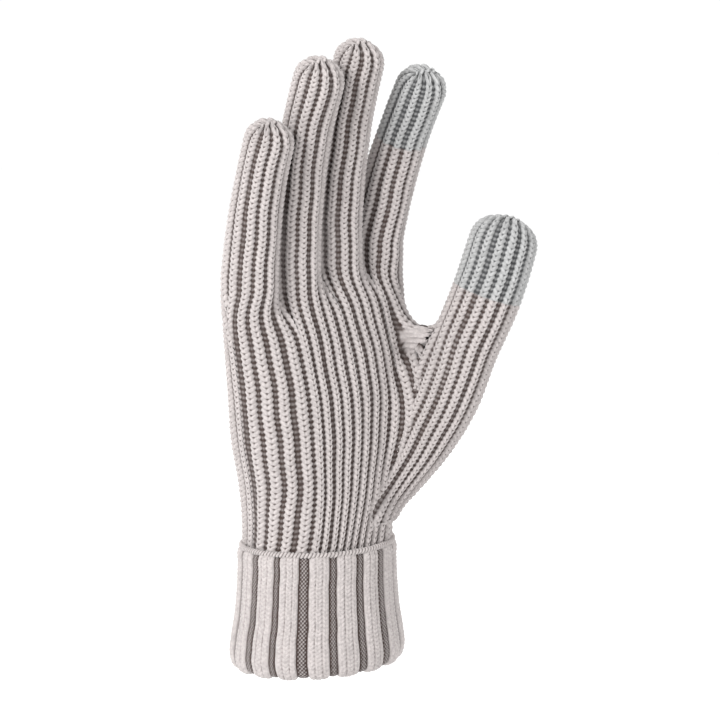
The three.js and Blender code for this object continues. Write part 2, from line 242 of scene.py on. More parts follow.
def grid_piece(name, grids, material):
    """One mesh from several grids: each is (points, painted shade amount, closed, keep)."""
    corners, painted_shades, faces = [], [], []
    first = 0
    for points, painted_shade, closed, keep in grids:
        rows, columns = points.shape[:2]
        corners.append(points.reshape(-1, 3))
        painted_shades.append(painted_shade.reshape(-1))
        index = first + np.arange(rows * columns).reshape(rows, columns)
        right = np.roll(index, -1, axis=1) if closed else index[:, 1:]
        left = index if closed else index[:, :-1]
        quads = np.stack([left[:-1], right[:-1], right[1:], left[1:]], axis=-1).reshape(-1, 4)
        if keep is not None:
            quads = quads[keep.reshape(-1)[quads - first].all(axis=1)]
        faces.append(quads)
        first += rows * columns
    corners = np.concatenate(corners)
    painted_shades = np.concatenate(painted_shades)
    faces = np.concatenate(faces)
    used = np.zeros(len(corners), bool)
    used[faces.reshape(-1)] = True
    renumber = np.cumsum(used) - 1
    faces = renumber[faces]
    corners = corners[used]
    painted_shades = painted_shades[used]
    mesh = bpy.data.meshes.new(name)
    mesh.vertices.add(len(corners))
    mesh.vertices.foreach_set("co", (corners * MM).astype(np.float32).reshape(-1))
    mesh.loops.add(faces.size)
    mesh.loops.foreach_set("vertex_index", faces.astype(np.int32).reshape(-1))
    mesh.polygons.add(len(faces))
    mesh.polygons.foreach_set("loop_start", np.arange(0, faces.size, 4, dtype=np.int32))
    mesh.update(calc_edges=True)
    mesh.validate()
    mesh.polygons.foreach_set("use_smooth", np.ones(len(mesh.polygons), bool))
    # the painted shade per point, which the yarn material turns into dark colour
    attribute = mesh.attributes.new("painted_shade", "FLOAT", "POINT")
    attribute.data.foreach_set("value", painted_shades.astype(np.float32))
    mesh.materials.append(material)
    piece = bpy.data.objects.new(name, mesh)
    bpy.context.scene.collection.objects.link(piece)
    return piece


# ------------------------------------------------------------------ the hand's forms


def hand_section(z):
    half = spline(z, HAND_Z, HAND_HALF)
    depth = spline(z, HAND_Z, HAND_DEPTH)
    return half, depth, spline(z, HAND_Z, HAND_Y)


def hand_rounds(z):
    """The hand tube's front at each height: x and y of its points and their lengths along it."""
    tau = np.linspace(0, np.pi, 241)
    power = 2 / HAND_SQUARENESS
    half, depth, _ = hand_section(z)
    x = half[:, None] * (-np.sign(np.cos(tau)) * np.abs(np.cos(tau)) ** power)
    y = depth[:, None] * np.abs(np.sin(tau)) ** power
    step = np.hypot(np.diff(x, axis=1), np.diff(y, axis=1))
    return x, y, np.concatenate([np.zeros((len(z), 1)), np.cumsum(step, axis=1)], axis=1)


def strip_places(z, finger, p, side):
    """Where a finger's strip lies round the hand tube, in lengths from its outer edge.

    The outer edge is on the little finger's side; lengths are positive over the palm and
    negative over the back. Side is -1 in front, 1 behind."""
    x, _, length = hand_rounds(z)
    lean = spline(z, LEAN_Z, LEAN)
    out = np.empty((len(z), len(p)))
    for i in range(len(z)):
        total = length[i, -1]
        cuts = np.interp(np.array(BORDER_X) / BORDER_X[-1] * x[i, -1], x[i], length[i])
        at = cuts[finger] + (cuts[finger + 1] - cuts[finger]) * p
        shift = lean[i] * (LEAN_OUTER + (LEAN_INNER - LEAN_OUTER) * at / total)
        out[i] = at + shift if side < 0 else shift * (0.5 + 0.5 * np.cos(2 * np.pi * at / total)) - at
    return out


def hand_strip(z, finger, p, side):
    """Points of the hand tube over one finger's share of it."""
    x, y, length = hand_rounds(z)
    middle = hand_section(z)[2]
    places = strip_places(z, finger, p, side)
    out = np.empty((len(z), len(p), 3))
    for i in range(len(z)):
        total = length[i, -1]
        round_it = places[i] % (2 * total)
        behind = round_it > total
        at = np.where(behind, 2 * total - round_it, round_it)
        out[i, :, 0] = np.interp(at, length[i], x[i])
        out[i, :, 1] = middle[i] + np.where(behind, 1, -1) * np.interp(at, length[i], y[i])
        out[i, :, 2] = z[i]
    return out


def finger_line(f, s):
    """Centre line of a finger: s is the length along it above the root, below 0 straight down."""
    root = np.array(f["root"], float)
    tip = np.array(f["tip"], float)
    control = root + (tip - root) * np.array([f["lean"], FORWARD_LEAN, 0.5])
    t = np.linspace(0, 1, 400)[:, None]
    curve = (1 - t) ** 2 * root + 2 * (1 - t) * t * control + t * t * tip
    length = np.concatenate([[0], np.cumsum(np.linalg.norm(np.diff(curve, axis=0), axis=1))])
    tangents = unit(np.gradient(curve, axis=0))
    at = np.clip(s, 0, length[-1])
    centre = np.stack([np.interp(at, length, curve[:, k]) for k in range(3)], axis=-1)
    tangent = unit(np.stack([np.interp(at, length, tangents[:, k]) for k in range(3)], axis=-1))
    centre[:, 2] += np.minimum(s, 0)
    return centre, tangent, length[-1]


def finger_strip(index, p, side, s):
    """Front or back skin of one finger, from s (length above the root) downwards and upwards."""
    f = FINGERS[index]
    centre, tangent, total = finger_line(f, s)
    share = np.clip(s / total, 0, 1)
    closed = end_rounding(total - s, TIP_ROUNDING)
    above = smoothstep((s + 2) / 6)
    half = (f["half"][0] + (f["half"][1] - f["half"][0]) * share) * (TIP_SEAM + (1 - TIP_SEAM) * closed)
    half = half * above + 10.0 * (1 - above)
    depth = (f["depth"][0] + (f["depth"][1] - f["depth"][0]) * np.minimum(1, 1.6 * share)) * closed
    out_of = np.stack([np.zeros_like(s), -tangent[:, 2], tangent[:, 1]], axis=-1)
    angle = np.pi * p
    points = centre[:, None, :] + np.array([1.0, 0, 0]) * (-half[:, None] * np.cos(angle))[..., None]
    points = points + unit(out_of)[:, None, :] * ((depth[:, None] * np.sin(angle))[..., None] * (-side))
    sag = TIP_SAG * smoothstep((s - total + TIP_ROUNDING) / TIP_ROUNDING)
    points = points - tangent[:, None, :] * (sag[:, None] * np.cos(angle) ** 2)[..., None]
    # below the root the sides of neighbouring fingers meet on shared border lines
    low = (1 - above)[:, None]
    border = BORDER_Y[index] + (BORDER_Y[index + 1] - BORDER_Y[index]) * p
    points[..., 1] += low * (border - f["root"][1]) * (1 - np.sin(angle))
    return points


def palm_share(index, p, z):
    """How far the surface is the hand's (0) or the finger's (1) at a height."""
    crotch = CROTCH_Z[index] + (CROTCH_Z[index + 1] - CROTCH_Z[index]) * p
    return smoothstep((z[:, None] - (crotch - WEB_LENGTH)) / WEB_LENGTH) ** 1.7


def strip_surface(index, p, side, s):
    """Skin of the hand and one finger together, blended around the webs."""
    z = FINGERS[index]["root"][2] + s
    points = finger_strip(index, p, side, s)
    low = z < CROTCH_Z[index] + 20
    w = palm_share(index, p, z[low])[..., None]
    points[low] = (1 - w) * hand_strip(z[low], index, p, side) + w * points[low]
    return points


# ------------------------------------------------------------------ the thumb's form

thumb_gaps = np.linalg.norm(np.diff(np.array(THUMB_PATH, float), axis=0), axis=1)
thumb_knots = np.concatenate([[0], np.cumsum(thumb_gaps)])
THUMB_LENGTH = thumb_knots[-1]
THUMB_ROOT = THUMB_ROOT_AT * THUMB_LENGTH
THUMB_TOUCH = THUMB_LENGTH - TOUCH_LENGTH


def thumb_frame(s):
    path = np.array(THUMB_PATH, float)
    centre = spline(s, thumb_knots, path)
    step = 0.5
    tangent = unit(spline(np.minimum(s + step, THUMB_LENGTH), thumb_knots, path)
                   - spline(np.maximum(s - step, 0), thumb_knots, path))
    across = unit(np.cross(tangent, THUMB_FACING))
    deep = unit(np.cross(across, tangent))
    half = spline(s, thumb_knots, THUMB_HALF)
    depth = spline(s, thumb_knots, THUMB_DEPTH)
    return centre, tangent, across, deep, half, depth


def thumb_surface(s, angle):
    centre, tangent, across, deep, half, depth = thumb_frame(s)
    closed = end_rounding(THUMB_LENGTH - s, THUMB_ROUNDING)
    half = half * (TIP_SEAM + (1 - TIP_SEAM) * closed)
    depth = depth * closed
    sag = TIP_SAG * smoothstep((s - THUMB_LENGTH + THUMB_ROUNDING) / THUMB_ROUNDING)
    return (centre[:, None, :]
            + across[:, None, :] * (half[:, None] * np.cos(angle))[..., None]
            + deep[:, None, :] * (depth[:, None] * np.sin(angle))[..., None]
            - tangent[:, None, :] * (sag[:, None] * np.cos(angle) ** 2)[..., None])


web_steps = np.linspace(0, 1, 60)
WEB_CENTRES = spline(web_steps, np.linspace(0, 1, len(WEB_PATH)), np.array(WEB_PATH, float))
WEB_RADII = spline(web_steps, np.linspace(0, 1, len(WEB_PATH)), WEB_RADIUS)
thumb_samples = np.linspace(0, THUMB_LENGTH - 12, 90)
SAMPLE_CENTRE, SAMPLE_TANGENT, _, _, SAMPLE_HALF, SAMPLE_DEPTH = thumb_frame(thumb_samples)
SAMPLE_RADIUS = (SAMPLE_HALF + SAMPLE_DEPTH) / 2


def thumb_distance(points):
    flat = points.reshape(-1, 3)
    out = np.empty(len(flat))
    for a in range(0, len(flat), 40000):
        block = flat[a:a + 40000]
        gap = np.linalg.norm(block[:, None, :] - SAMPLE_CENTRE[None], axis=2) - SAMPLE_RADIUS
        i = gap.argmin(axis=1)
        offset = block - SAMPLE_CENTRE[i]
        slide = np.einsum("ij,ij->i", offset, SAMPLE_TANGENT[i])
        slide = np.clip(slide, -1, 1)
        offset = offset - SAMPLE_TANGENT[i] * slide[:, None]
        radius = np.interp(thumb_samples[i] + slide, thumb_samples, SAMPLE_RADIUS)
        out[a:a + 40000] = np.linalg.norm(offset, axis=1) - radius
    return out.reshape(points.shape[:-1])


def palm_distance(points):
    x, y, z = points[..., 0], points[..., 1], points[..., 2]
    half, depth, middle = hand_section(z)
    n = HAND_SQUARENESS
    ax = np.maximum(np.abs(x), 1e-3)
    ay = np.maximum(np.abs(y - middle), 1e-3)
    total = (ax / half) ** n + (ay / depth) ** n
    rho = total ** (1 / n)
    slope = rho ** (1 - n) * np.hypot(ax ** (n - 1) / half**n, ay ** (n - 1) / depth**n)
    return (rho - 1) / np.maximum(slope, 1e-6)


def web_distance(points):
    """Distance to the web of fabric between the palm and the thumb."""
    flat = points.reshape(-1, 3)
    gap = np.linalg.norm(flat[:, None, :] - WEB_CENTRES[None], axis=2) - WEB_RADII
    return gap.min(axis=1).reshape(points.shape[:-1])


def flow(a, b, reach):
    """The smaller of two distances, rounded off where they are close."""
    h = np.clip(reach - np.abs(a - b), 0, None) / reach
    return np.minimum(a, b) - h * h * reach / 4


def joined_distance(points):
    hand = flow(palm_distance(points), web_distance(points), WEB_BLEND)
    return flow(hand, thumb_distance(points), WEB_BLEND)


def grow_to_joined(base, direction, limit):
    """How far each point moves along its direction to reach the joined surface of palm and thumb."""
    rows = np.unique(np.concatenate([np.arange(0, base.shape[0], 5), [base.shape[0] - 1]]))
    columns = np.unique(np.concatenate([np.arange(0, base.shape[1], 4), [base.shape[1] - 1]]))
    start = base[np.ix_(rows, columns)]
    ray = direction[np.ix_(rows, columns)]
    distance = np.zeros(start.shape[:2])
    done = np.zeros(start.shape[:2], bool)
    before = joined_distance(start)
    done |= before >= 0
    step = 0.8
    for k in range(1, int(limit / step) + 1):
        after = joined_distance(start + ray * (k * step))
        crossed = (after >= 0) & ~done
        share = before / np.where(before == after, 1, before - after)
        distance = np.where(crossed, (k - 1 + np.clip(share, 0, 1)) * step, distance)
        done |= crossed
        before = after
    distance = np.where(done, distance, limit)
    fine_columns = np.arange(base.shape[1])
    fine_rows = np.arange(base.shape[0])
    wide = np.stack([np.interp(fine_columns, columns, line) for line in distance])
    return np.stack([np.interp(fine_rows, rows, line) for line in wide.T], axis=1)


def past_seam(points, normals):
    """How far a point of the joined surface lies past the gusset's seam, on the thumb's side."""
    front = smoothstep((normals @ SEAM_TOWARD + 0.2) / 0.4)
    seam = points @ SEAM_ACROSS - spline(points[..., 2], SEAM_Z, SEAM_AT)
    behind = palm_distance(points) - thumb_distance(points)
    return front * seam + (1 - front) * behind


# The palm side as one face: where the joined surface is first met, looking along the gusset's
# seam, in steps across and in steps of height.
FACE_U = np.arange(-6, 54, 0.75)
FACE_STEP = 2.0
FACE_Z = np.arange(44, 132, FACE_STEP)
FACE_DEPTHS = np.arange(46, -12, -0.8)
FACE_TOP = 120             # above this height it gives way to the hand tube again
FACE_START = 2             # the face takes over from this x, near the middle of the palm
FACE_SLOPE = 1.0           # steeper parts of the face take no more of the ribs' width than this


def face_row(z):
    places = (FACE_U[:, None, None] * SEAM_ACROSS + FACE_DEPTHS[None, :, None] * SEAM_TOWARD
              + np.array([0, 0, z]))
    distance = joined_distance(places)
    inside = distance < 0
    k = np.maximum(inside.argmax(axis=1), 1)
    across = np.arange(len(FACE_U))
    outer = distance[across, k - 1]
    share = outer / (outer - distance[across, k])
    met = FACE_DEPTHS[k - 1] + share * (FACE_DEPTHS[1] - FACE_DEPTHS[0])
    return np.where(inside.any(axis=1), met, FACE_DEPTHS[-1])


FACE = np.array([face_row(z) for z in FACE_Z])


def palm_face(z, finger, p):
    """The front strip laid on the face, and how far it takes over from the hand tube."""
    x, y, length = hand_rounds(z)
    middle = hand_section(z)[2]
    places = strip_places(z, finger, p, -1)
    out = np.empty((len(z), len(p), 3))
    share = np.empty((len(z), len(p)))
    for i in range(len(z)):
        row = np.clip((z[i] - FACE_Z[0]) / FACE_STEP, 0, len(FACE_Z) - 1.001)
        k = int(row)
        met = FACE[k] + (FACE[k + 1] - FACE[k]) * (row - k)
        across = np.diff(FACE_U)
        deep = np.clip(np.diff(met), -FACE_SLOPE * across, FACE_SLOPE * across)
        arc = np.concatenate([[0], np.cumsum(np.hypot(across, deep))])
        start = np.interp(FACE_START, x[i], length[i])
        start_u = np.array([FACE_START, middle[i] - np.interp(FACE_START, x[i], y[i])]) @ SEAM_ACROSS[:2]
        at = np.interp(start_u, FACE_U, arc) + places[i] - start
        out[i] = (np.interp(at, arc, FACE_U)[:, None] * SEAM_ACROSS
                  + np.interp(at, arc, met)[:, None] * SEAM_TOWARD + np.array([0, 0, z[i]]))
        fade = 1 - smoothstep((z[i] - FACE_TOP) / (CROTCH_FLOOR + 1 - FACE_TOP))
        share[i] = smoothstep((places[i] - start) / 8) * fade
    return out, share


# ------------------------------------------------------------------ materials


def yarn(name, light, painted_shade, coarse, sheen):
    """Matt fuzzy yarn: heathered colour, painted shade between the stitches, fibre bump and sheen."""
    material = bpy.data.materials.new(name)
    material.use_nodes = True
    nodes = material.node_tree.nodes
    links = material.node_tree.links
    shader = nodes["Principled BSDF"]
    shader.inputs["Roughness"].default_value = 0.92
    shader.inputs["Specular IOR Level"].default_value = 0.18
    shader.inputs["Sheen Weight"].default_value = sheen
    shader.inputs["Sheen Roughness"].default_value = 0.5
    place = nodes.new("ShaderNodeTexCoord")
    # reads the painted shade stored on the points
    shade_input = nodes.new("ShaderNodeAttribute")
    shade_input.attribute_name = "painted_shade"
    heather = nodes.new("ShaderNodeTexNoise")
    heather.inputs["Scale"].default_value = 900 * coarse
    heather.inputs["Detail"].default_value = 4
    links.new(place.outputs["Object"], heather.inputs["Vector"])
    cloud = nodes.new("ShaderNodeTexNoise")
    cloud.inputs["Scale"].default_value = 60
    cloud.inputs["Detail"].default_value = 2
    links.new(place.outputs["Object"], cloud.inputs["Vector"])
    tones = nodes.new("ShaderNodeValToRGB")
    tones.color_ramp.elements[0].position = 0.32
    tones.color_ramp.elements[0].color = (*[c * 0.72 for c in light], 1)
    tones.color_ramp.elements[1].position = 0.62
    tones.color_ramp.elements[1].color = (*light, 1)
    links.new(heather.outputs["Fac"], tones.inputs["Fac"])
    soft = nodes.new("ShaderNodeMapRange")
    soft.inputs["To Min"].default_value = 0.92
    soft.inputs["To Max"].default_value = 1.05
    links.new(cloud.outputs["Fac"], soft.inputs["Value"])
    tinted = nodes.new("ShaderNodeMix")
    tinted.data_type = "RGBA"
    tinted.blend_type = "MULTIPLY"
    tinted.inputs["Factor"].default_value = 1
    links.new(tones.outputs["Color"], tinted.inputs["A"])
    links.new(soft.outputs["Result"], tinted.inputs["B"])
    # the heather noise breaks up the edges of the painted shade, as loose fibres reach over the gaps
    ragged = nodes.new("ShaderNodeMath")
    ragged.operation = "MULTIPLY_ADD"
    ragged.inputs[1].default_value = 0.5
    links.new(heather.outputs["Fac"], ragged.inputs[0])
    ragged.inputs[2].default_value = -0.25
    shade = nodes.new("ShaderNodeMath")
    shade.operation = "ADD"
    shade.use_clamp = True
    links.new(shade_input.outputs["Fac"], shade.inputs[0])
    links.new(ragged.outputs["Value"], shade.inputs[1])
    curve = nodes.new("ShaderNodeMapRange")
    curve.interpolation_type = "SMOOTHSTEP"
    curve.inputs["From Min"].default_value = 0.12
    curve.inputs["From Max"].default_value = 1.0
    links.new(shade.outputs["Value"], curve.inputs["Value"])
    final = nodes.new("ShaderNodeMix")
    final.data_type = "RGBA"
    links.new(curve.outputs["Result"], final.inputs["Factor"])
    links.new(tinted.outputs["Result"], final.inputs["A"])
    final.inputs["B"].default_value = (*painted_shade, 1)
    links.new(final.outputs["Result"], shader.inputs["Base Color"])
    fibre = nodes.new("ShaderNodeTexNoise")
    fibre.inputs["Scale"].default_value = 1800 * coarse
    fibre.inputs["Detail"].default_value = 3
    links.new(place.outputs["Object"], fibre.inputs["Vector"])
    bump = nodes.new("ShaderNodeBump")
    bump.inputs["Strength"].default_value = 0.55
    bump.inputs["Distance"].default_value = 0.00035
    links.new(fibre.outputs["Fac"], bump.inputs["Height"])
    links.new(bump.outputs["Normal"], shader.inputs["Normal"])
    return material


# the second colour of each yarn is the painted shade for the grooves and the gaps between stitches
MAIN_YARN = yarn("main_yarn", (0.475, 0.436, 0.427), (0.045, 0.03, 0.026), 1.0, 0.25)
TOUCH_YARN = yarn("touch_yarn", (0.42, 0.421, 0.42), (0.04, 0.041, 0.043), 0.8, 0.3)

# ------------------------------------------------------------------ knitted pieces


def rows_between(low, high):
    count = max(2, int(round((high - low) / ROW * STEPS_PER_ROW)) + 1)
    return np.linspace(low, high, count)


def knitted_strip(index, side, s, depth, groove, bars):
    """A strip of 1x1 rib over one finger's front or back, with its relief."""
    z = FINGERS[index]["root"][2] + s
    # behind the gusset the index finger's back strip runs on round the hand's edge
    width = BACK_REACH if index == INDEX_FINGER and side > 0 and z[0] < SEAM_TOP else 1
    p = np.linspace(0, width, int(width * FINGER_RIBS * STEPS_PER_RIB) + 1)
    base = strip_surface(index, p, side, s)
    sink = 0
    keep = None
    if index >= MIDDLE_FINGER and z[0] < SEAM_TOP:
        normals = grid_normals(base, False) * (-side)
        rise = smoothstep((z - GUSSET_FOOT) / 6)[:, None]
        grown = np.zeros(base.shape[:2])
        if index == INDEX_FINGER:
            grown = grow_to_joined(base, normals, FABRIC_REACH)
            grown = grown * (1 - smoothstep((base[..., 2] - CROTCH_FLOOR - 2) / 20))
            grown = grown * smoothstep(p / 0.2) * rise
            base = base + normals * grown[..., None]
        if side < 0:
            face, share = palm_face(z, index, p)
            share = share * rise
            base = base + (face - base) * share[..., None]
            grown = grown * (1 - share)
        if index == INDEX_FINGER or side < 0:
            normals = grid_normals(base, False) * (-side)
            past = past_seam(base, normals)
            past = np.where(base[..., 2] > SEAM_TOP, -9, past)
            sink = SEAM_SINK * smoothstep((past + 0.3) / 3) * rise
            whole = z[:, None] < GUSSET_FOOT
            keep = ((past < SEAM_OVERLAP) | whole) & (grown < FABRIC_REACH - 1)
            turned_away = (z[:, None] < CROTCH_FLOOR) & (normals @ SEAM_TOWARD < 0.25)
            keep &= (p <= 1.001) | (~whole & turned_away)
    normals = grid_normals(base, False) * (-side)
    ribs = FINGER_RIBS + (PALM_RIBS - FINGER_RIBS) * (1 - palm_share(index, p, z))
    drift = 0.16 * wave(z, index + 4 * (side > 0))[:, None] * np.clip(4 * p * (1 - p), 0, 1)
    # a palm strip holds half a rib more than a whole number, so every second one starts half a rib on
    odd = 0.5 * ((index + (side > 0)) % 2) * (1 - palm_share(index, p, z))
    u = FINGER_RIBS / 2 + odd + (p - 0.5) * ribs + drift
    row = (z / ROW)[:, None] + 0.25 * wave(base[..., 0] * 2, side)
    opening = groove * (1 + 0.3 * np.sin(2.4 * np.round(u) + 1.7 * index + side) + 0.12 * wave(z, 9)[:, None])
    height, painted_shade = fine_rib(u % 1, row, opening, depth, bars)
    # where the fabric is stretched sideways its grooves open and let less shadow in
    spacing = np.linalg.norm(np.gradient(base, axis=1), axis=-1)
    painted_shade = painted_shade * (0.35 + 0.65 * smoothstep(3 - 1.4 * spacing / np.median(spacing)))
    # the wrist's lowest rows draw in to join the cuff's inner layer
    sink = sink + HEM_SINK * smoothstep((HEM_TOP - z) / 4)[:, None]
    points = base + normals * (height - SKIN_INSET - depth / 2 - sink)[..., None]
    if side < 0:
        return points, painted_shade, False, keep
    return points[:, ::-1], painted_shade[:, ::-1], False, None if keep is None else keep[:, ::-1]


def finger_piece(name, index, s, material, depth=RIB_DEPTH, groove=RIB_GROOVE, bars=RIB_BARS):
    grids = [knitted_strip(index, side, s, depth, groove, bars) for side in (-1, 1)]
    return grid_piece(name, grids, material)


def strand(name, path, radius, material, twist=3.0, sway=0):
    """A short length of two-ply yarn along a path, pulled to a point at both ends."""
    path = np.array(path, float)
    length = np.concatenate([[0], np.cumsum(np.linalg.norm(np.diff(path, axis=0), axis=1))])
    s = np.linspace(0, length[-1], int(length[-1] / 0.15) + 2)
    centre = spline(s, length, path)
    tangent = unit(np.gradient(centre, axis=0))
    side = unit(np.cross(tangent, np.array([0.31, 0.22, 0.93])))
    lift = unit(np.cross(side, tangent))
    centre = centre + side * (sway * np.sin(2 * np.pi * s / 2.2))[:, None]
    angle = 2 * np.pi * np.arange(20) / 20
    ply = np.cos(2 * angle[None, :] - 2 * np.pi * s[:, None] / twist)
    end = end_rounding(np.minimum(s, length[-1] - s) + 0.02, 1.6 * radius)
    ring = radius * end[:, None] * (1 + 0.2 * ply)
    points = (centre[:, None, :] + side[:, None, :] * (ring * np.cos(angle))[..., None]
              + lift[:, None, :] * (ring * np.sin(angle))[..., None])
    # painted shade in the grooves between the two plies
    painted_shade = np.clip(0.35 - 0.5 * ply, 0, 1)
    return grid_piece(name, [(points[:, ::-1], painted_shade[:, ::-1], True, None)], material)


for i, f in enumerate(FINGERS):
    _, _, total = finger_line(f, np.array([0.0]))
    z0 = f["root"][2]
    name = f["name"]
    touch = f["bend"] is None
    knuckle = total - TOUCH_LENGTH if touch else f["bend"] * total
    first = rows_between(WRIST_SPLIT - z0, knuckle / 2)
    lower = finger_piece(f"{name}_finger_root_knit", i, first, MAIN_YARN)
    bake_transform(lower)
    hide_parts(f"{name}_finger_lower")
    if touch:
        plain = rows_between(knuckle / 2, knuckle)
        middle_part = finger_piece(f"{name}_finger_mid_knit", i, plain, MAIN_YARN)
        last = rows_between(knuckle, total)
        upper = finger_piece(f"{name}_touch_tip_knit", i, last, TOUCH_YARN, 1.3, 0.36, 0.6)
        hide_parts(f"{name}_touch_tip")
        parts = [middle_part, upper]
    else:
        last = rows_between(knuckle / 2, total)
        upper = finger_piece(f"{name}_finger_tip_knit", i, last, MAIN_YARN)
        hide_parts(f"{name}_finger_upper")
        parts = [upper]
    yarn_material = TOUCH_YARN if touch else MAIN_YARN
    centre, tangent, _ = finger_line(f, np.array([knuckle]))
    for part in parts:
        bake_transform(part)
    _, tip_tangent, _ = finger_line(f, np.array([total]))
    seam = finger_strip(i, np.linspace(0.06, 0.94, 9), -1, np.array([total]))[0]
    closure = strand(f"{name}_tip_seam", seam - 0.5 * tip_tangent, 1.0, yarn_material, 2.4, 0.35)
    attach(closure, f"{name}_upper")
    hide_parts(f"{name}_tip_closure")

# wrist: the tube between the cuff and the palm, all the way round
wrist_grids = []
for i, f in enumerate(FINGERS):
    s = rows_between(CUFF_TOP - 6 - f["root"][2], WRIST_SPLIT - f["root"][2])
    for side in (-1, 1):
        wrist_grids.append(knitted_strip(i, side, s, RIB_DEPTH, RIB_GROOVE, RIB_BARS))
wrist = grid_piece("wrist_knit", wrist_grids, MAIN_YARN)
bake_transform(wrist)
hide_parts("wrist_band", "hand_body")

# crotches: linking yarn laid over each dip between two fingers, and between index and thumb
CROTCHES = [
    ("little_ring", (-20, 1, 151.6)), ("ring_middle", (0, 2.8, 158.6)), ("middle_index", (20, 4, 162.6)),
]
for name, (x, y, z) in CROTCHES:
    steps = np.linspace(-5, 5, 9)
    path = [(x, y + t, z + 0.6 - 0.04 * t * t) for t in steps]
    link = strand(f"crotch_link_{name}", path, 0.9, MAIN_YARN, 2.4, 0.5)
    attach(link, "hand")
    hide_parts(f"crotch_stitch_{name}")

THUMB_CROTCH = np.array([43.3, -15.2, 0])
saddle = []
for t in np.linspace(-6, 6, 9):
    place = THUMB_CROTCH + SEAM_TOWARD * t
    heights = np.arange(138, 112, -0.1)
    column = np.stack([np.full_like(heights, place[0]), np.full_like(heights, place[1]), heights], axis=-1)
    hit = np.argmax(joined_distance(column) < 0)
    saddle.append((place[0], place[1], heights[hit] - 0.5))
link = strand("crotch_link_thumb", saddle, 0.9, MAIN_YARN, 2.4, 0.5)
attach(link, "hand")
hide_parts("crotch_stitch_thumb")

# thumb: gusset, free tube and touch tip
THUMB_COLUMNS = THUMB_RIBS * STEPS_PER_RIB
thumb_angle = -2 * np.pi * np.arange(THUMB_COLUMNS) / THUMB_COLUMNS


def thumb_piece(name, low, high, material, depth=1.3, groove=0.32, bars=0.5):
    s = rows_between(low, high)
    base = thumb_surface(s, thumb_angle)
    centre, _, _, _, half, _ = thumb_frame(s)
    free = smoothstep((s - THUMB_ROOT) / 14)
    inner = 1 - smoothstep((s - THUMB_ROOT + 25) / 25)
    # the fabric grows out of the thumb's tube from a line that lies deeper and nearer the palm
    origin = centre - (0.3 * SEAM_ACROSS + 0.6 * SEAM_TOWARD) * (half * inner)[:, None]
    ray = unit(base - origin[:, None, :])
    grown = grow_to_joined(base, ray, GUSSET_REACH) * (1 - free)[:, None]
    base = base + ray * grown[..., None]
    normals = grid_normals(base, True)
    past = past_seam(base, normals)
    sink = SEAM_SINK * np.maximum(smoothstep((0.3 - past) / 3), smoothstep((GUSSET_FOOT - base[..., 2]) / 5))
    sink = sink * (1 - free)[:, None]
    keep = ((past > -SEAM_OVERLAP) & (grown < GUSSET_REACH - 1)) | (s > THUMB_ROOT + 6)[:, None]
    u = (np.arange(THUMB_COLUMNS) / STEPS_PER_RIB)[None, :] + 0.1 * wave(s, 5)[:, None]
    row = np.repeat((s / ROW)[:, None], THUMB_COLUMNS, axis=1)
    # the gusset's fabric is stretched open below the crotch, so more of its bars show
    stretched = smoothstep(1 - np.abs(base[..., 2] - 118) / 16) * smoothstep(1 - np.abs(past - 6) / 12)
    opening = groove * (1 + 0.3 * np.sin(2.4 * np.round(u) + 0.6)) * np.ones_like(past)
    height, painted_shade = fine_rib(u % 1, row, opening, depth, bars + 0.35 * stretched)
    points = base + normals * (height - SKIN_INSET - depth / 2 - sink)[..., None]
    return grid_piece(name, [(points, painted_shade, True, keep)], material)


gusset = thumb_piece("thumb_gusset_knit", 1, THUMB_ROOT - 2, MAIN_YARN)
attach(gusset, "hand")
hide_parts("thumb_gusset")
root_frame = [v[0] for v in thumb_frame(np.array([THUMB_ROOT]))]
touch_frame = [v[0] for v in thumb_frame(np.array([THUMB_TOUCH]))]
thumb_middle = (THUMB_ROOT + THUMB_TOUCH) / 2
thumb_low = thumb_piece("thumb_lower_knit", THUMB_ROOT - 2, thumb_middle, MAIN_YARN)
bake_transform(thumb_low)
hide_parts("thumb_lower")
thumb_mid = thumb_piece("thumb_mid_knit", thumb_middle, THUMB_TOUCH, MAIN_YARN)
thumb_tip = thumb_piece("thumb_touch_tip_knit", THUMB_TOUCH, THUMB_LENGTH, TOUCH_YARN, 1.3, 0.34, 0.6)
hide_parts("thumb_touch_tip")
for part in (thumb_mid, thumb_tip):
    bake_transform(part)
thumb_end = thumb_surface(np.array([THUMB_LENGTH]), np.linspace(0.07, 0.93, 9) * np.pi)[0]
thumb_seam = strand("thumb_tip_seam", thumb_end - 0.5 * thumb_frame(np.array([THUMB_LENGTH]))[1][0],
                    1.0, TOUCH_YARN, 2.4, 0.35)
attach(thumb_seam, "thumb_upper")
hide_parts("thumb_tip_closure")

# ------------------------------------------------------------------ cuff


def oval(profile, columns, step):
    """An oval tube along a profile of (half width, half depth, height), resampled evenly."""
    profile = np.array(profile, float)
    length = np.concatenate([[0], np.cumsum(np.linalg.norm(np.diff(profile, axis=0), axis=1))])
    s = np.linspace(0, length[-1], int(length[-1] / step) + 1)
    smooth = spline(s, length, profile)
    angle = 2 * np.pi * np.arange(columns) / columns
    points = np.empty((len(s), columns, 3))
    points[..., 0] = smooth[:, :1] * np.cos(angle)
    points[..., 1] = smooth[:, 1:2] * np.sin(angle)
    points[..., 2] = smooth[:, 2:3]
    return points, s


def cuff_layer(name, profile, depth, proud, step, steps_per_rib):
    """A layer of broad rib; proud is how far its ribs stand outside the profile."""
    base, s = oval(profile, CUFF_RIBS * steps_per_rib, step)
    normals = grid_normals(base, True)
    u = (np.arange(CUFF_RIBS * steps_per_rib) / steps_per_rib)[None, :] + 0.03 * wave(s * 2, 2)[:, None]
    row = (s / CUFF_ROW)[:, None] + 0.2 * wave(base[..., 0] * 2, 1)
    channel = 0.3 + 0.07 * np.sin(2.4 * np.round(u)) + 0.03 * wave(s, 4)[:, None]
    height, painted_shade = broad_rib(u % 1, row, channel, depth)
    points = base + normals * (height - depth + proud)[..., None]
    return grid_piece(name, [(points, painted_shade, True, None)], MAIN_YARN)


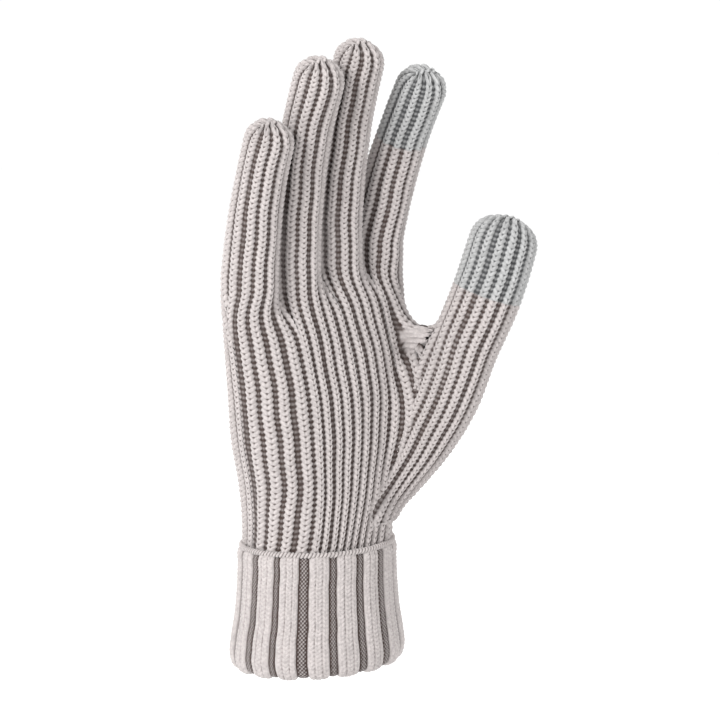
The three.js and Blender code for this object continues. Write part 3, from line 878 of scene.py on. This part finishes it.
turned = cuff_layer("cuff_turn_up_knit", [
    (27.2, 20.8, 7), (28.6, 21.8, 2.4), (31.6, 24.4, 0.6), (34.8, 27.2, 1.8), (36.1, 28.4, 6), (35.6, 28, 12),
    (33.9, 26.8, 22), (32.8, 26.1, 34), (32.5, 25.8, 42), (32.4, 25.7, 46.6), (31.6, 25, 48),
    (30.2, 23.8, 48), (29.4, 23.2, 46.6),
], 1.35, 0.2, CUFF_ROW / STEPS_PER_ROW, CUFF_STEPS)
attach(turned, "turned_cuff")
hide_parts("cuff_turn_up")
sleeve = cuff_layer("cuff_sleeve_knit", [
    (26.6, 20.3, 4), (28, 21.7, 2.8), (28.9, 22.6, 4), (28.9, 22.6, 30), (29.3, 22.7, 42),
    (29.5, 22.8, 46.5), (28.6, 22, 48.5),
], 1.1, 0, 0.5, 20)
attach(sleeve, "cuff")
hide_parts("cuff_sleeve")

# bind-off row: slanting loops that wrap over the top of the turned-up layer
EDGE_LOOPS = 132
EDGE_STEPS = 12
EDGE_HALF, EDGE_DEPTH, EDGE_Z = 31.2, 24.7, 48.5
edge_turn = np.linspace(0, 2 * np.pi, 25)[:-1]
edge_place = 2 * np.pi * np.arange(EDGE_LOOPS * EDGE_STEPS) / (EDGE_LOOPS * EDGE_STEPS)
loop = 0.5 + 0.5 * np.cos(EDGE_LOOPS * edge_place[None, :] - 2.2 * np.sin(edge_turn)[:, None])
edge_radius = 0.8 + 0.35 * loop**0.7
edge_out = edge_radius * np.cos(edge_turn)[:, None]
edge_up = edge_radius * np.sin(edge_turn)[:, None]
edge_points = np.stack([
    (EDGE_HALF + edge_out) * np.cos(edge_place),
    (EDGE_DEPTH + edge_out) * np.sin(edge_place),
    EDGE_Z + edge_up + 0.3 * wave(edge_place[None, :] * 40, 3),
], axis=-1)
edge_closed = np.concatenate([edge_points, edge_points[:1]])
# painted shade between the loops
edge_painted_shade = np.concatenate([0.75 * (1 - loop) ** 2, 0.75 * (1 - loop[:1]) ** 2])
edge = grid_piece("cuff_edge_knit", [(edge_closed[::-1], edge_painted_shade[::-1], True, None)], MAIN_YARN)
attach(edge, "turned_cuff")
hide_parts("cuff_edge")

# ------------------------------------------------------------------ camera, light and floor

CAMERA_AZIMUTH = math.radians(-34)
CAMERA_DISTANCE = 0.80
CAMERA_HEIGHT = 0.225
AIM = Vector((0.0152, -0.0071, 0.1192))
AIM_DISTANCE = 0.806
VIEW_WIDTH = 0.2785        # the picture's width in metres, at the glove

away = Vector((math.sin(CAMERA_AZIMUTH), -math.cos(CAMERA_AZIMUTH), 0))
camera_data = bpy.data.cameras.new("camera")
camera = bpy.data.objects.new("camera", camera_data)
bpy.context.scene.collection.objects.link(camera)
camera.location = Vector((AIM.x, AIM.y, CAMERA_HEIGHT)) + away * CAMERA_DISTANCE
camera.rotation_euler = (AIM - camera.location).to_track_quat("-Z", "Y").to_euler()
camera_data.sensor_width = 36
camera_data.lens = camera_data.sensor_width * AIM_DISTANCE / VIEW_WIDTH
bpy.context.scene.camera = camera


def soft_light(name, place, size, power):
    data = bpy.data.lights.new(name, "AREA")
    data.shape = "DISK"
    data.size = size
    data.energy = power
    lamp = bpy.data.objects.new(name, data)
    bpy.context.scene.collection.objects.link(lamp)
    lamp.location = Vector(place)
    lamp.rotation_euler = (AIM - lamp.location).to_track_quat("-Z", "Y").to_euler()


def seen_from_camera(right, toward, up):
    side = Vector((math.cos(CAMERA_AZIMUTH), math.sin(CAMERA_AZIMUTH), 0))
    return AIM + side * right + away * toward + Vector((0, 0, up))


bpy.context.scene.view_settings.view_transform = "Standard"

soft_light("key", seen_from_camera(-0.7, 0.9, 0.55), 0.5, 13)
soft_light("fill", seen_from_camera(0.9, 0.8, 0.1), 0.7, 2)
soft_light("back", seen_from_camera(0.2, -0.9, 0.8), 0.8, 5)

floor_mesh = bpy.data.meshes.new("floor")
reach = 6.0
drop = -0.06
floor_corners = [(-reach, -reach, drop), (reach, -reach, drop), (reach, reach, drop), (-reach, reach, drop)]
floor_mesh.from_pydata(floor_corners, [], [(0, 1, 2, 3)])
floor = bpy.data.objects.new("floor", floor_mesh)
bpy.context.scene.collection.objects.link(floor)
pale = bpy.data.materials.new("pale_floor")
pale.use_nodes = True
pale.node_tree.nodes["Principled BSDF"].inputs["Base Color"].default_value = (0.97, 0.97, 0.97, 1)
pale.node_tree.nodes["Principled BSDF"].inputs["Roughness"].default_value = 0.9
floor.data.materials.append(pale)

world = bpy.data.worlds.new("white_studio")
bpy.context.scene.world = world
world.use_nodes = True
world.node_tree.nodes["Background"].inputs["Color"].default_value = (1, 1, 1, 1)
world.node_tree.nodes["Background"].inputs["Strength"].default_value = 1.04
